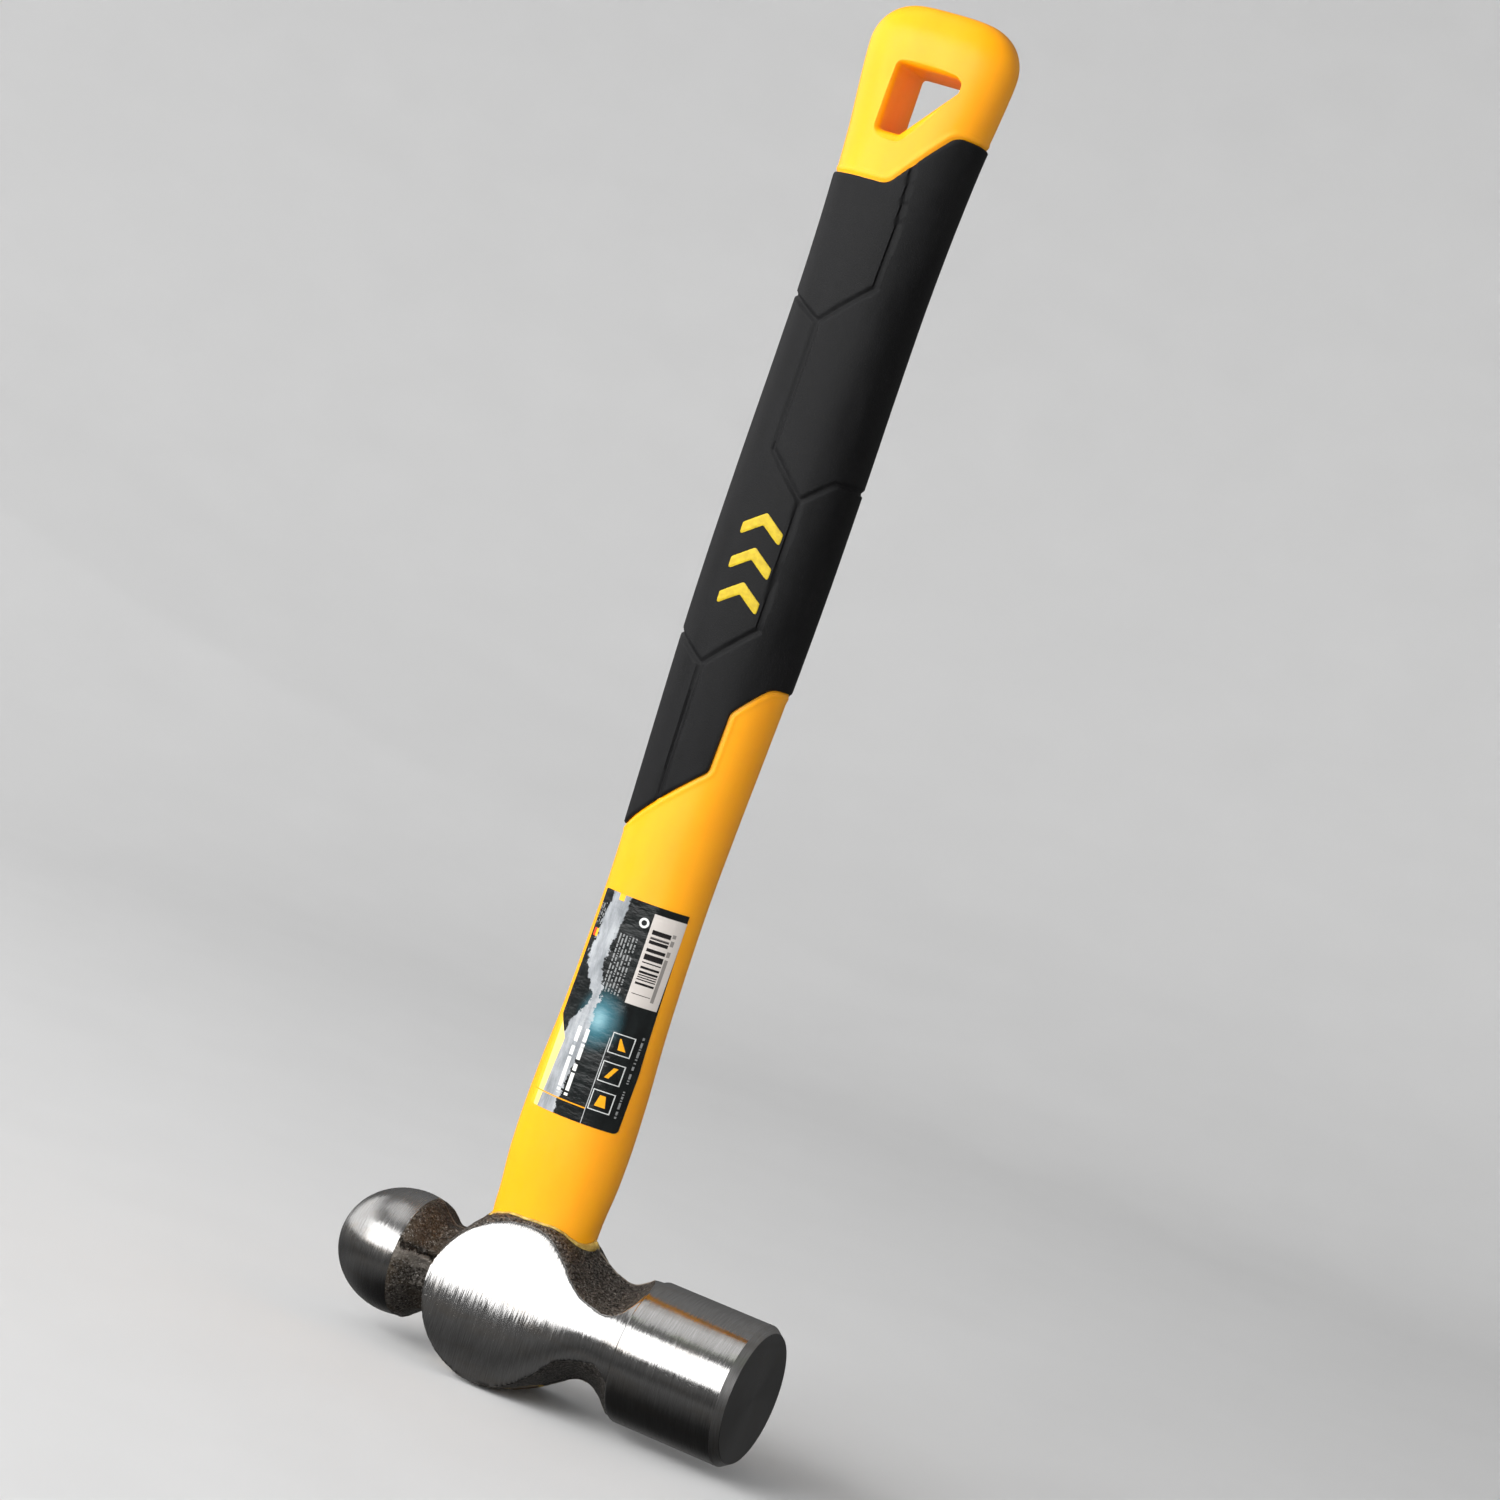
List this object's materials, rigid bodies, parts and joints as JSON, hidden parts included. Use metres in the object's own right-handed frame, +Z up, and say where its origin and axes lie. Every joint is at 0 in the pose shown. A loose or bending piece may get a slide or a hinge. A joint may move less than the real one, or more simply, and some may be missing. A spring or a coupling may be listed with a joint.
{
  "type": "ball peen hammer",
  "caption": "Ball peen hammer: forged steel head with a flat striking face and a ball peen, on a fibreglass-cored handle with a soft grip and a hanging hole.",
  "frame": {"origin": "middle of the flat crown face, on the handle's axis, at the head end", "axes": "+Z up the handle to the butt, +X along the head from the ball peen to the striking face, -Y out of the cheek that the label and emblem are on"},
  "size_m": [0.1268, 0.0394, 0.3841],
  "materials": {
    "head_steel": "ground poll, cheeks and ball; dark forged scale elsewhere",
    "glass_fibre": "pultruded glass fibre, sanded end",
    "jacket_yellow": "moulded, semi-gloss",
    "grip_black": "matte soft moulding with fine grain",
    "emblem_yellow": "moulded inlay",
    "epoxy": "clear amber resin",
    "label_film": "printed gloss film"
  },
  "bodies": {
    "root": {"hammer_head": "head_steel", "fibreglass_core": "glass_fibre", "handle_jacket": "jacket_yellow", "grip_sleeve": "grip_black", "grip_emblem_1": "emblem_yellow", "grip_emblem_2": "emblem_yellow", "grip_emblem_3": "emblem_yellow", "eye_resin": "epoxy", "mouth_seal": "epoxy", "product_label": "label_film"}
  },
  "joints": []
}
